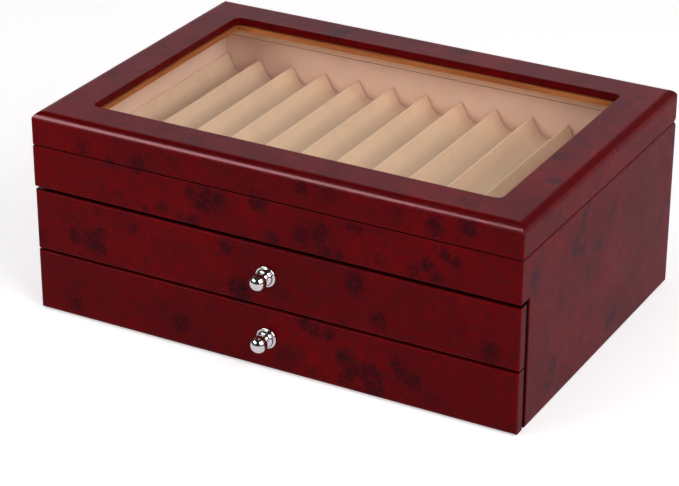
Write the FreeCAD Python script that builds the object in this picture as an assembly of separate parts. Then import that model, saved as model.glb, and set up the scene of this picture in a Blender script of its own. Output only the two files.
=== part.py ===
import FreeCAD, Part
import math
import os

os.makedirs("parts", exist_ok=True)

# Pen chest: a case with a glazed, hinged lid over a lined pen compartment, and two pen drawers below it.
# Millimetres. +X is to the right, +Y to the back, +Z up.
# The origin is the centre of the footprint, on the surface that the chest stands on.

# ------------------------------------------------------------------ driving dimensions

# Case shell
case_width = 333.0
case_depth = 228.0
side_thickness = 7.0
back_thickness = 9.0
front_thickness = 8.0  # the upper front panel and both drawer fronts
edge_ease = 1.2  # radius on the outer edges of the case's lacquered panels
case_rear_round = 3.5  # radius on the rear rim, which clears the opening lid
upper_front_height = 28.1
housing_depth = 3.0  # depth of the grooves that hold the thin panels

# Panels inside the case
floor_thickness = 3.0  # floor of the top compartment
floor_front_gap = 0.6  # floor's front edge behind the upper drawer front
divider_thickness = 5.0  # shelf between the drawers
bottom_thickness = 4.0
base_felt_thickness = 0.8
base_felt_inset = 3.0

# Drawer fronts and the gaps round them
drawer_front_height = 40.6
drawer_front_gap = 1.0  # between the two drawer fronts
upper_front_gap = 2.1  # between the upper drawer front and the panel above it
front_foot_gap = 0.3  # lower drawer front above the underside of the case
front_standoff = 3.2  # drawer fronts ahead of the case's front edges
front_end_inset = 0.3  # ends of the drawer fronts inside the case's sides
front_edge_ease = 2.0  # radius round the face of a drawer front

# Drawer boxes
drawer_side_clearance = 0.6
drawer_slide_clearance = 0.3
drawer_top_clearance = 0.5
drawer_back_clearance = 0.3
drawer_wall = 8.0
drawer_bottom_thickness = 3.0
drawer_bottom_rise = 2.0  # drawer bottom above the lower edges of the drawer sides
drawer_groove_depth = 3.0
groove_play = 0.2
drawer_edge_ease = 0.8

# Linings and pen trays
lining_thickness = 0.8
lining_setback = 0.4  # lining's free edge below the rim that it lines
tray_clearance = 0.2
pen_pitch = 25.46
pen_groove_depth = 12.6
pen_flank_angle = 64.0  # degrees from level
pen_ridge_radius = 0.9
pen_tray_base = 1.9  # under the bottom of a groove
tray_land = 1.0  # least flat at either end of a tray

# Lid
lid_gap = 0.4
lid_height = 21.35
lid_border = 27.0  # from the lid's outer faces to the window
lid_roundover = 6.2
lid_rear_round = 5.2
lid_corner_ease = 1.5  # upright corners
lid_bottom_ease = 0.8
lip_thickness = 4.9  # above the glass
window_corner_radius = 4.5
glass_thickness = 1.6
glass_play = 0.5
rabbet_width = 5.0
bead_height = 3.4
bead_play = 0.1

# Hinges
hinge_length = 40.0
hinge_behind_case = 1.0  # case's back to the pin's axis
hinge_from_side = 62.0  # case side to the middle of the hinge
knuckle_count = 5
knuckle_radius = 2.0
knuckle_clearance = 0.3
hinge_pin_radius = 1.0
pin_running_fit = 0.05  # in the lid's knuckles, which turn on the pin
pin_tight_fit = 0.01  # in the case's knuckles, which hold it
pin_head_radius = 1.5
pin_head_thickness = 0.6
leaf_thickness = 1.0
leaf_gap = 0.2
leaf_width = 7.8  # from the pin's axis to the leaf's free edge
leaf_play = 0.1

# Hinge screws
screw_from_leaf_end = 9.0
screw_head_radius = 1.5
screw_head_height = 0.8
screw_shank_radius = 0.8
screw_length = 8.0
screw_from_leaf_edge = 1.8
screw_slot_width = 0.4
screw_slot_depth = 0.4
screw_fit = 0.04

# Knobs and their screws
knob_rise = 0.7  # knob above the middle of its drawer front
knob_base_radius = 6.8
knob_rim_thickness = 1.5
knob_dome_radius = 5.6
knob_dome_height = 4.6  # drawer front to the top of the dome
knob_neck_radius = 3.2
knob_ball_radius = 5.4
knob_ball_height = 9.6  # drawer front to the centre of the ball
knob_screw_radius = 2.0
knob_screw_reach = 6.0  # into the knob
knob_screw_head_radius = 3.6
knob_screw_head_height = 2.2
counterbore_depth = 2.6
counterbore_play = 0.6
knob_slot_width = 0.8
knob_slot_depth = 0.7

# ------------------------------------------------------------------ places that follow from them

half_width = case_width / 2
half_depth = case_depth / 2
inner_x = half_width - side_thickness
inner_front = -half_depth + front_thickness
inner_back = half_depth - back_thickness
case_front_edge = -half_depth + front_thickness + front_standoff

case_bottom = base_felt_thickness
bottom_top = case_bottom + bottom_thickness
drawer_pitch = drawer_front_height + drawer_front_gap
front_bottom = {"lower": case_bottom + front_foot_gap}
front_bottom["upper"] = front_bottom["lower"] + drawer_pitch
upper_panel_bottom = front_bottom["upper"] + drawer_front_height + upper_front_gap
box_bottom = {"lower": bottom_top + drawer_slide_clearance}
box_bottom["upper"] = box_bottom["lower"] + drawer_pitch
divider_top = box_bottom["upper"] - drawer_slide_clearance
divider_bottom = divider_top - divider_thickness
floor_top = upper_panel_bottom
floor_bottom = floor_top - floor_thickness
drawer_box_height = (
    min(divider_bottom - box_bottom["lower"], floor_bottom - box_bottom["upper"]) - drawer_top_clearance
)
rim = upper_panel_bottom + upper_front_height

lid_bottom = rim + lid_gap
lid_top = lid_bottom + lid_height
window_x = half_width - lid_border
window_y = half_depth - lid_border
glass_top = lid_top - lip_thickness
glass_bottom = glass_top - glass_thickness
flange_bottom = glass_bottom - bead_height

hinge_y = half_depth + hinge_behind_case
hinge_z = rim + lid_gap / 2
hinge_centre_x = half_width - hinge_from_side
leaf_edge_y = hinge_y - leaf_width
leaf_end_y = hinge_y - knuckle_radius - knuckle_clearance
screw_y = leaf_edge_y + screw_from_leaf_edge

drawer_half_width = inner_x - drawer_side_clearance
drawer_inner_x = drawer_half_width - drawer_wall
drawer_back = inner_back - drawer_back_clearance
drawer_inner_back = drawer_back - drawer_wall

V = FreeCAD.Vector
CUT = 1.0  # how far a cutting tool starts outside the face that it cuts
SAME_PLACE = 1e-4  # two coordinates this close are one


# ------------------------------------------------------------------ shared shapes


def save(node, *solids):
    """Writes one sub-part: a single solid, or a group of separate ones."""
    shape = solids[0] if len(solids) == 1 else Part.makeCompound(list(solids))
    shape.exportStep(f"parts/{node}.step")


def block(x0, x1, y0, y1, z0, z1):
    """Rectangular block between two opposite corners."""
    return Part.makeBox(x1 - x0, y1 - y0, z1 - z0, V(x0, y0, z0))


def prism(points, rise):
    """Straight prism on the closed polygon through points."""
    return Part.Face(Part.makePolygon(points + points[:1])).extrude(rise)


def rod(radius, start, along):
    """Cylinder from start, along a vector."""
    return Part.makeCylinder(radius, along.Length, start, along)


def on(**planes):
    """Test for an edge whose ends all lie on the planes given, such as on(x=5, z=0)."""

    def test(edge):
        ends = [vertex.Point for vertex in edge.Vertexes]
        return all(abs(getattr(p, axis) - value) < SAME_PLACE for p in ends for axis, value in planes.items())

    return test


def eased(shape, radius, *tests):
    """The shape with every edge that passes one of the tests rounded to the radius."""
    return shape.makeFillet(radius, [e for e in shape.Edges if any(test(e) for test in tests)])


def line(a, b):
    return Part.LineSegment(a, b).toShape()


def arc(a, middle, b):
    return Part.Arc(a, middle, b).toShape()


# ------------------------------------------------------------------ case


def side_panel(side):
    """Side panel: full depth beside the top compartment, cut back below it for the drawer fronts."""
    outer = side * half_width
    points = [
        V(outer, -half_depth, upper_panel_bottom),
        V(outer, -half_depth, rim),
        V(outer, half_depth, rim),
        V(outer, half_depth, case_bottom),
        V(outer, case_front_edge, case_bottom),
        V(outer, case_front_edge, upper_panel_bottom),
    ]
    panel = prism(points, V(-side * side_thickness, 0, 0))
    panel = eased(panel, case_rear_round, on(y=half_depth, z=rim))
    panel = eased(panel, edge_ease, on(y=-half_depth, z=rim), on(y=-half_depth, z=upper_panel_bottom))
    panel = eased(panel, edge_ease, on(x=outer))
    for top, thickness, front in thin_panels():
        panel = panel.cut(thin_panel(front, top, thickness))
    return panel


def thin_panels():
    """Top face, thickness and front edge of each thin panel housed in the sides."""
    return [
        (floor_top, floor_thickness, inner_front + floor_front_gap),
        (divider_top, divider_thickness, case_front_edge),
        (bottom_top, bottom_thickness, case_front_edge),
    ]


def thin_panel(front, top, thickness):
    """Thin panel let into the side panels and the back panel."""
    reach = inner_x + housing_depth
    return block(-reach, reach, front, inner_back + housing_depth, top - thickness, top)


def back_panel():
    panel = block(-inner_x, inner_x, inner_back, half_depth, case_bottom, rim)
    panel = eased(panel, case_rear_round, on(y=half_depth, z=rim))
    panel = eased(panel, edge_ease, on(y=half_depth, z=case_bottom))
    for top, thickness, front in thin_panels():
        panel = panel.cut(thin_panel(front, top, thickness))
    for side in (-1, 1):
        panel = panel.cut(leaf_mortise(side, rim, hinge_z - leaf_gap / 2 - leaf_thickness))
        for x in screw_places(side):
            panel = panel.cut(screw_pilot(x, -1))
    return panel


def upper_front_panel():
    panel = block(-inner_x, inner_x, -half_depth, inner_front, upper_panel_bottom, rim)
    return eased(panel, edge_ease, on(y=-half_depth, z=rim), on(y=-half_depth, z=upper_panel_bottom))


def case_lining():
    """Lining boards of the top compartment: front and back full width, the sides between them."""
    z0, z1 = floor_top, rim - lining_setback
    front, back = inner_front + lining_thickness, inner_back - lining_thickness
    save("case_lining_front", block(-inner_x, inner_x, inner_front, front, z0, z1))
    save("case_lining_back", block(-inner_x, inner_x, back, inner_back, z0, z1))
    save("case_lining_left", block(-inner_x, -inner_x + lining_thickness, front, back, z0, z1))
    save("case_lining_right", block(inner_x - lining_thickness, inner_x, front, back, z0, z1))


# ------------------------------------------------------------------ pen trays


def pen_tray(x0, x1, y0, y1, bottom, centred):
    """Tray with pen grooves from front to back: round bottoms, straight flanks and narrow ridges.
    The grooves start at the left end, or are centred between equal lands."""
    angle = math.radians(pen_flank_angle)
    sine, cosine = math.sin(angle), math.cos(angle)
    count = int((x1 - x0 - 2 * tray_land) / pen_pitch)
    first = x0 + ((x1 - x0 - count * pen_pitch) / 2 if centred else tray_land)
    low = bottom + pen_tray_base
    top = low + pen_groove_depth
    ridge_reach = pen_pitch / 2 - pen_ridge_radius * sine
    rise = math.tan(angle) * ridge_reach - pen_groove_depth + pen_ridge_radius * (1 - cosine)
    radius = rise * cosine / (1 - cosine)

    def flat(x, z):
        return V(x, y0, z)

    def tip(x, share):
        """Point on a ridge's rounded tip: share runs from -1 on the left flank to 1 on the right."""
        turn = share * angle
        up = pen_ridge_radius * (1 - math.cos(turn))
        return flat(x + pen_ridge_radius * math.sin(turn), top - up)

    def trough(x, share):
        """Point on a groove's round bottom: share runs from -1 on the left flank to 1 on the right."""
        turn = share * angle
        return flat(x + radius * math.sin(turn), low + radius * (1 - math.cos(turn)))

    last = first + count * pen_pitch
    edges = [line(flat(x0, bottom), flat(x0, top)), line(flat(x0, top), flat(first, top))]
    edges.append(arc(flat(first, top), tip(first, 0.5), tip(first, 1)))
    for i in range(count):
        left, right = first + i * pen_pitch, first + (i + 1) * pen_pitch
        centre = (left + right) / 2
        edges.append(line(tip(left, 1), trough(centre, -1)))
        edges.append(arc(trough(centre, -1), trough(centre, 0), trough(centre, 1)))
        edges.append(line(trough(centre, 1), tip(right, -1)))
        if i < count - 1:
            edges.append(arc(tip(right, -1), tip(right, 0), tip(right, 1)))
    edges.append(arc(tip(last, -1), tip(last, -0.5), flat(last, top)))
    edges.append(line(flat(last, top), flat(x1, top)))
    edges.append(line(flat(x1, top), flat(x1, bottom)))
    edges.append(line(flat(x1, bottom), flat(x0, bottom)))
    return Part.Face(Part.Wire(edges)).extrude(V(0, y1 - y0, 0))


def case_tray():
    reach = inner_x - lining_thickness - tray_clearance
    front = inner_front + lining_thickness + tray_clearance
    back = inner_back - lining_thickness - tray_clearance
    return pen_tray(-reach, reach, front, back, floor_top, centred=False)


# ------------------------------------------------------------------ lid


def lid_side(side):
    """Turn about Z from the front to this side, and half the side's length and half the lid across it."""
    turn = {"front": 0, "right": 90, "back": 180, "left": 270}[side]
    if side in ("front", "back"):
        return turn, half_width, half_depth
    return turn, half_depth, half_width


def mitred(bar, side):
    """A bar laid along the lid's front edge, cut at the mitre planes through the lid's corners and turned
    to its side. The bar is drawn as long as the side."""
    turn, half_length, half_across = lid_side(side)
    inward = lid_border + window_corner_radius + CUT
    points = [
        V(-half_length - CUT, -half_across - CUT, lid_bottom - CUT),
        V(half_length + CUT, -half_across - CUT, lid_bottom - CUT),
        V(half_length - inward, -half_across + inward, lid_bottom - CUT),
        V(-half_length + inward, -half_across + inward, lid_bottom - CUT),
    ]
    bar = bar.common(prism(points, V(0, 0, lid_height + 2 * CUT)))
    bar.rotate(V(0, 0, 0), V(0, 0, 1), turn)
    return bar


def rounded_plan(x, y, radius):
    """Block through the whole lid, with rounded upright corners."""
    plan = block(-x, x, -y, y, lid_bottom - CUT, lid_top + CUT)
    return eased(plan, radius, *[on(x=side_x, y=side_y) for side_x in (-x, x) for side_y in (-y, y)])


def lid_envelope():
    """Limits of the whole lid: eased upright corners, and the round along its lower rear edge."""
    x, y = half_width + CUT, half_depth
    shell = block(-x, x, -y - CUT, y, lid_bottom, lid_top + CUT)
    shell = eased(shell, lid_rear_round, on(y=y, z=lid_bottom))
    return shell.common(rounded_plan(half_width, half_depth, lid_corner_ease))


def lid_rail(side):
    """Rail of angle section: lid wall, top flange, lip over the glass and rabbet for glass and bead."""
    half_length, half_across = lid_side(side)[1:]
    outer = -half_across
    wall = {"front": inner_front + half_depth, "back": half_depth - inner_back}.get(
        side, half_width - inner_x
    )
    window_edge = outer + lid_border
    section = [
        (outer, lid_bottom),
        (outer + wall, lid_bottom),
        (outer + wall, flange_bottom),
        (window_edge - rabbet_width, flange_bottom),
        (window_edge - rabbet_width, glass_top),
        (window_edge + window_corner_radius, glass_top),
        (window_edge + window_corner_radius, lid_top),
        (outer, lid_top),
    ]
    rail = prism([V(-half_length, y, z) for y, z in section], V(2 * half_length, 0, 0))
    rail = eased(rail, lid_roundover, on(y=outer, z=lid_top))
    if side != "back":
        rail = eased(rail, lid_bottom_ease, on(y=outer, z=lid_bottom))
    rail = mitred(rail, side)
    rail = rail.cut(rounded_plan(window_x, window_y, window_corner_radius))
    rail = rail.common(lid_envelope())
    if side == "back":
        for hand in (-1, 1):
            rail = rail.cut(leaf_mortise(hand, lid_bottom, hinge_z + leaf_gap / 2 + leaf_thickness))
            for x in screw_places(hand):
                rail = rail.cut(screw_pilot(x, 1))
    return rail


def glass_bead(side):
    """Glazing bead under the glass, flush with the lip."""
    half_length, half_across = lid_side(side)[1:]
    window_edge = -half_across + lid_border
    back = window_edge - rabbet_width + bead_play
    return mitred(block(-half_length, half_length, back, window_edge, flange_bottom, glass_bottom), side)


def lid_lining(side):
    """Lining strip of angle section: up the inside of a lid wall and under its flange."""
    low, high = lid_bottom + lining_setback, flange_bottom
    leg_x, leg_y = window_x + rabbet_width, window_y + rabbet_width
    wall_x = inner_x - lining_thickness
    wall_front, wall_back = inner_front + lining_thickness, inner_back - lining_thickness
    ceiling = high - lining_thickness
    if side == "front":
        wall = block(-inner_x, inner_x, inner_front, wall_front, low, high)
        return wall.fuse(block(-wall_x, wall_x, wall_front, -leg_y, ceiling, high)).removeSplitter()
    if side == "back":
        wall = block(-inner_x, inner_x, wall_back, inner_back, low, high)
        return wall.fuse(block(-wall_x, wall_x, leg_y, wall_back, ceiling, high)).removeSplitter()
    wall = block(wall_x, inner_x, wall_front, wall_back, low, high)
    strip = wall.fuse(block(leg_x, wall_x, -leg_y, leg_y, ceiling, high)).removeSplitter()
    if side == "left":
        strip = strip.mirror(V(0, 0, 0), V(1, 0, 0))
    return strip


# ------------------------------------------------------------------ hinges


def screw_places(side):
    """X of the two screws in each leaf of one hinge."""
    offset = hinge_length / 2 - screw_from_leaf_end
    return [side * hinge_centre_x - offset, side * hinge_centre_x + offset]


def leaf_mortise(side, face, depth_z):
    """Recess for a hinge leaf, from the face that it is let into to the back of the leaf."""
    x0 = side * hinge_centre_x - hinge_length / 2 - leaf_play
    x1 = side * hinge_centre_x + hinge_length / 2 + leaf_play
    low, high = (depth_z, face + CUT) if face > depth_z else (face - CUT, depth_z)
    return block(x0, x1, leaf_edge_y - leaf_play, hinge_y + CUT, low, high)


def screw_axis(x, up):
    """Top of a hinge screw's head, and the direction in which the screw is driven."""
    return V(x, screw_y, hinge_z + up * leaf_gap / 2), V(0, 0, up)


def hinge_screw(x, up, extra=0.0):
    """Countersunk screw driven up into the lid or down into the back panel."""
    start, way = screw_axis(x, up)
    head = Part.makeCone(
        screw_head_radius + extra, screw_shank_radius + extra, screw_head_height, start, way
    )
    return head.fuse(rod(screw_shank_radius + extra, start, way * screw_length)).removeSplitter()


def slotted_screw(x, up):
    start, way = screw_axis(x, up)
    z0, z1 = sorted((start.z - way.z * CUT, start.z + way.z * screw_slot_depth))
    reach, half_slot = screw_head_radius + CUT, screw_slot_width / 2
    slot = block(x - reach, x + reach, screw_y - half_slot, screw_y + half_slot, z0, z1)
    return hinge_screw(x, up).cut(slot)


def screw_pilot(x, up):
    """Hole in the wood for a hinge screw's shank."""
    start, way = screw_axis(x, up)
    return rod(screw_shank_radius + screw_fit, start, way * (screw_length + screw_fit))


def hinge_leaf(side, up):
    """Leaf with its share of the knuckles: the case's leaf has the outer ones, the lid's the others."""
    x0 = side * hinge_centre_x - hinge_length / 2
    near, far = hinge_z + up * leaf_gap / 2, hinge_z + up * (leaf_gap / 2 + leaf_thickness)
    low, high = sorted((near, far))
    leaf = block(x0, x0 + hinge_length, leaf_edge_y, leaf_end_y, low, high)
    span = hinge_length / knuckle_count
    for k in range(0 if up < 0 else 1, knuckle_count, 2):
        k0 = x0 + k * span + (knuckle_clearance / 2 if k else 0)
        k1 = x0 + (k + 1) * span - (knuckle_clearance / 2 if k < knuckle_count - 1 else 0)
        leaf = leaf.fuse(rod(knuckle_radius, V(k0, hinge_y, hinge_z), V(k1 - k0, 0, 0)))
        leaf = leaf.fuse(block(k0, k1, leaf_end_y, hinge_y, low, high))
    leaf = leaf.removeSplitter()
    bore = hinge_pin_radius + (pin_running_fit if up > 0 else pin_tight_fit)
    leaf = leaf.cut(rod(bore, V(x0 - CUT, hinge_y, hinge_z), V(hinge_length + 2 * CUT, 0, 0)))
    for x in screw_places(side):
        leaf = leaf.cut(hinge_screw(x, up, screw_fit))
    return leaf


def hinge_pin(side):
    """Pin with a flat head at each end."""
    x0 = side * hinge_centre_x - hinge_length / 2
    x1 = x0 + hinge_length
    pin = rod(hinge_pin_radius, V(x0, hinge_y, hinge_z), V(hinge_length, 0, 0))
    pin = pin.fuse(rod(pin_head_radius, V(x0, hinge_y, hinge_z), V(-pin_head_thickness, 0, 0)))
    return pin.fuse(rod(pin_head_radius, V(x1, hinge_y, hinge_z), V(pin_head_thickness, 0, 0)))


# ------------------------------------------------------------------ drawers


def drawer_bottom(level):
    z0 = box_bottom[level] + drawer_bottom_rise
    reach = drawer_inner_x + drawer_groove_depth - groove_play
    front = inner_front - drawer_groove_depth + groove_play
    back = drawer_inner_back + drawer_groove_depth - groove_play
    return block(-reach, reach, front, back, z0, z0 + drawer_bottom_thickness)


def bottom_groove(level):
    """Groove round the inside of a drawer for the edges of its bottom."""
    z0 = box_bottom[level] + drawer_bottom_rise
    reach = drawer_inner_x + drawer_groove_depth
    front, back = inner_front - drawer_groove_depth, drawer_inner_back + drawer_groove_depth
    return block(-reach, reach, front, back, z0, z0 + drawer_bottom_thickness)


def knob_height(level):
    return front_bottom[level] + drawer_front_height / 2 + knob_rise


def drawer_front(level):
    z0, reach = front_bottom[level], half_width - front_end_inset
    panel = block(-reach, reach, -half_depth, inner_front, z0, z0 + drawer_front_height)
    panel = eased(panel, front_edge_ease, on(y=-half_depth))
    z = knob_height(level)
    through = V(0, front_thickness + 2 * CUT, 0)
    hole = rod(knob_screw_radius + screw_fit, V(0, -half_depth - CUT, z), through)
    seat = V(0, inner_front - counterbore_depth, z)
    counterbore = rod(knob_screw_head_radius + counterbore_play, seat, V(0, counterbore_depth + CUT, 0))
    return panel.cut(hole).cut(counterbore).cut(bottom_groove(level))


def drawer_side(level, side):
    outer, inner = side * drawer_half_width, side * drawer_inner_x
    x0, x1 = sorted((outer, inner))
    z0, z1 = box_bottom[level], box_bottom[level] + drawer_box_height
    panel = block(x0, x1, inner_front, drawer_back, z0, z1)
    panel = eased(panel, drawer_edge_ease, on(x=outer, z=z1), on(x=inner, z=z1))
    return panel.cut(bottom_groove(level))


def drawer_back_panel(level):
    z0, z1 = box_bottom[level], box_bottom[level] + drawer_box_height
    panel = block(-drawer_inner_x, drawer_inner_x, drawer_inner_back, drawer_back, z0, z1)
    panel = eased(panel, drawer_edge_ease, on(y=drawer_back, z=z1), on(y=drawer_inner_back, z=z1))
    return panel.cut(bottom_groove(level))


def drawer_floor(level):
    return box_bottom[level] + drawer_bottom_rise + drawer_bottom_thickness


def drawer_lining(level):
    """Four lining boards: front and back full width, the sides between them."""
    z0 = drawer_floor(level)
    z1 = box_bottom[level] + drawer_box_height - drawer_edge_ease - lining_setback
    x, front, back = drawer_inner_x, inner_front, drawer_inner_back
    thickness = lining_thickness
    return [
        block(-x, x, front, front + thickness, z0, z1),
        block(-x, x, back - thickness, back, z0, z1),
        block(-x, -x + thickness, front + thickness, back - thickness, z0, z1),
        block(x - thickness, x, front + thickness, back - thickness, z0, z1),
    ]


def drawer_tray(level):
    reach = drawer_inner_x - lining_thickness - tray_clearance
    front = inner_front + lining_thickness + tray_clearance
    back = drawer_inner_back - lining_thickness - tray_clearance
    return pen_tray(-reach, reach, front, back, drawer_floor(level), centred=True)


def knob(level):
    """Turned knob: base with a rounded rim, dome, narrow neck and ball, bored for its screw."""
    z = knob_height(level)

    def at(radius, out):
        return V(radius, -half_depth - out, z)

    neck_turn = math.asin(knob_neck_radius / knob_ball_radius)
    seat = knob_ball_height - knob_ball_radius * math.cos(neck_turn)
    shoulder = knob_base_radius - knob_rim_thickness / 2
    diagonal = math.sqrt(0.5)
    dome_middle = at(
        knob_neck_radius + (knob_dome_radius - knob_neck_radius) * diagonal,
        knob_rim_thickness + (knob_dome_height - knob_rim_thickness) * diagonal,
    )
    ball_side = at(knob_ball_radius, knob_ball_height)
    edges = [
        line(at(0, 0), at(shoulder, 0)),
        arc(at(shoulder, 0), at(knob_base_radius, knob_rim_thickness / 2), at(shoulder, knob_rim_thickness)),
        line(at(shoulder, knob_rim_thickness), at(knob_dome_radius, knob_rim_thickness)),
        arc(at(knob_dome_radius, knob_rim_thickness), dome_middle, at(knob_neck_radius, knob_dome_height)),
        line(at(knob_neck_radius, knob_dome_height), at(knob_neck_radius, seat)),
        arc(at(knob_neck_radius, seat), ball_side, at(0, knob_ball_height + knob_ball_radius)),
        line(at(0, knob_ball_height + knob_ball_radius), at(0, 0)),
    ]
    turned = Part.Face(Part.Wire(edges)).revolve(V(0, 0, z), V(0, 1, 0), 360)
    bore_start = V(0, -half_depth + CUT, z)
    bore = rod(knob_screw_radius + screw_fit, bore_start, V(0, -knob_screw_reach - CUT - screw_fit, 0))
    return turned.cut(bore)


def knob_screw(level):
    """Slotted screw from inside the drawer front into the knob."""
    z = knob_height(level)
    seat = inner_front - counterbore_depth
    head = rod(knob_screw_head_radius, V(0, seat, z), V(0, knob_screw_head_height, 0))
    shank = rod(knob_screw_radius, V(0, seat, z), V(0, -(seat + half_depth) - knob_screw_reach, 0))
    back = seat + knob_screw_head_height
    reach = knob_screw_head_radius + CUT
    half_slot = knob_slot_width / 2
    slot = block(-reach, reach, back - knob_slot_depth, back + CUT, z - half_slot, z + half_slot)
    return head.fuse(shank).removeSplitter().cut(slot)


# ------------------------------------------------------------------ the sub-parts

save("side_panel_left", side_panel(-1))
save("side_panel_right", side_panel(1))
save("back_panel", back_panel())
save("upper_front_panel", upper_front_panel())
for node, (panel_top, panel_thickness, panel_front) in zip(
    ("compartment_floor", "drawer_divider", "bottom_panel"), thin_panels()
):
    save(node, thin_panel(panel_front, panel_top, panel_thickness))
felt_x, felt_y = half_width - base_felt_inset, half_depth - base_felt_inset
felt_front = case_front_edge + base_felt_inset
save("base_felt", block(-felt_x, felt_x, felt_front, felt_y, 0, base_felt_thickness))
case_lining()
save("top_pen_tray", case_tray())

for side in ("front", "back", "left", "right"):
    save(f"lid_rail_{side}", lid_rail(side))
    save(f"glass_bead_{side}", glass_bead(side))
    save(f"lid_lining_{side}", lid_lining(side))
glass_x, glass_y = (half + rabbet_width - glass_play for half in (window_x, window_y))
save("lid_glass", block(-glass_x, glass_x, -glass_y, glass_y, glass_bottom, glass_top))

for side_name, side in (("left", -1), ("right", 1)):
    save(f"hinge_leaf_case_{side_name}", hinge_leaf(side, -1))
    save(f"hinge_leaf_lid_{side_name}", hinge_leaf(side, 1))
    save(f"hinge_pin_{side_name}", hinge_pin(side))
for body, up in (("case", -1), ("lid", 1)):
    save(f"hinge_screws_{body}", *[slotted_screw(x, up) for side in (-1, 1) for x in screw_places(side)])

for level in ("upper", "lower"):
    drawer = f"drawer_{level}"
    save(f"{drawer}_front", drawer_front(level))
    save(f"{drawer}_side_left", drawer_side(level, -1))
    save(f"{drawer}_side_right", drawer_side(level, 1))
    save(f"{drawer}_back", drawer_back_panel(level))
    save(f"{drawer}_bottom", drawer_bottom(level))
    save(f"{drawer}_lining", *drawer_lining(level))
    save(f"{drawer}_pen_tray", drawer_tray(level))
    save(f"{drawer}_knob", knob(level))
    save(f"{drawer}_knob_screw", knob_screw(level))
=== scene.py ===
import math
import random

import bmesh
import bpy
from mathutils import Matrix, Vector, noise


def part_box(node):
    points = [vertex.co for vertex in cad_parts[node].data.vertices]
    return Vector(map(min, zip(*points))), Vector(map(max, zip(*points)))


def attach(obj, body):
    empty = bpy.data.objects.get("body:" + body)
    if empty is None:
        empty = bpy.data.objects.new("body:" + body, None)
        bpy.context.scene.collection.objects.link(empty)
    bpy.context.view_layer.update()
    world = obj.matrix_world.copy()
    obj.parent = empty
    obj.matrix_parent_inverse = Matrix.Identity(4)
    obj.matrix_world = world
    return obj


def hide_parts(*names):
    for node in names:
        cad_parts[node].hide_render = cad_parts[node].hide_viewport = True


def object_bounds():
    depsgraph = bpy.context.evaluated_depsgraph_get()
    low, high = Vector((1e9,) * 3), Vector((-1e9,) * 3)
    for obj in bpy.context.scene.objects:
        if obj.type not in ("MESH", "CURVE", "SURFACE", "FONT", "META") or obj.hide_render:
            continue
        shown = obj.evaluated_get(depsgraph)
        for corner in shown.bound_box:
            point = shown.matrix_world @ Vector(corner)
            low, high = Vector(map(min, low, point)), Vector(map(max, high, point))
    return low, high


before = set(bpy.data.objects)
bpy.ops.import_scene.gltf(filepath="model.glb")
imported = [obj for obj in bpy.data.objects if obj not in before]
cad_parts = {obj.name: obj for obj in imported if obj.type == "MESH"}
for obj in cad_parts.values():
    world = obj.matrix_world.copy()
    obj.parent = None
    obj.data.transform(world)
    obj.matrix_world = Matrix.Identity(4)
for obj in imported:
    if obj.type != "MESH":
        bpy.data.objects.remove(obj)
cad_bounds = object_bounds()

MM = 0.001  # every length below is in metres
SIDES = ("front", "back", "left", "right")
HANDS = ("left", "right")
LEVELS = ("upper", "lower")

# ------------------------------------------------------------------ camera, lamps, floor

CAMERA_PLACE = (0.66845, -1.23860, 0.72790)
CAMERA_AZIMUTH = math.radians(28.816)
CAMERA_ELEVATION = math.radians(26.155)
CAMERA_ROLL = math.radians(0.1025)
CAMERA_LENS, CAMERA_SENSOR = 130.588, 36.0  # millimetres

DOME_LEVEL = 0.03  # light from all round, as a share of white
LAMP_TARGET = Vector((0.0, 0.0, 0.08))
# Lamps: direction from the target, distance, width and height, and brightness of the face.
KEY_LAMP = ((-0.54, -0.65, 0.53), 1.5, (1.15, 0.55), 3.9)
SIDE_LAMP = ((0.76, -0.32, 0.56), 1.7, (1.2, 1.1), 4.7)
OVERHEAD_LAMP = ((-0.20, -0.20, 1.0), 1.8, (1.6, 1.6), 1.0)

FLOOR_SIZE = 14.0
CARD_Y = 1.2
CARD_LOW, CARD_HIGH = (-1.5, 0.0), (1.3, 2.4)  # the card's corners, as x and z
FLOOR_WHITE = 0.90  # of the floor and the card as they light the object
FLOOR_SHOWN_LIT = 0.75  # share of the floor's look that the lamps and shadows change
FLOOR_SHOWN_PLAIN = 0.52  # share of it that stays the same
FLOOR_SHOWN_TINT = (1.0, 0.965, 0.98)  # of the share that stays, which is what a shadow shows
FLOOR_MIRRORED = (0.34, 0.43)  # the two shares in glass, metal and lacquer
CARD_MIRRORED = (0.80, 0.60)
MIRRORED_TINT = (1.0, 0.91, 1.0)

# ------------------------------------------------------------------ pen trays

PEN_PITCH = 25.46 * MM
PEN_GROOVE_DEPTH = 12.6 * MM
PEN_FLANK_ANGLE = math.radians(64.0)
PEN_RIDGE_RADIUS = 0.9 * MM
TIP_STEPS, FLANK_STEPS, TROUGH_STEPS = 5, 5, 9  # facets of half a groove: ridge, flank, trough
TRAY_LAND = 1.0 * MM
TRAY_END_ROLL = 1.1 * MM
ROLL_STEPS = 4
TRAY_STATIONS = 56  # cross-sections from the front of a tray to its back
TRAY_SHARP = math.radians(50)  # edges sharper than this aren't shaded smooth
# The trays' soft unevenness: its reach, its waves per metre along x, y and z, and a shift that sets it apart.
RIDGE_SWAY = (0.45 * MM, (45, 22, 90), (0, 0, 0))
RIDGE_SAG = (0.30 * MM, (60, 26, 70), (9, 0, 0))
TROUGH_SWELL = (0.12 * MM, (50, 30, 80), (0, 0, 4))

# ------------------------------------------------------------------ lining boards

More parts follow.
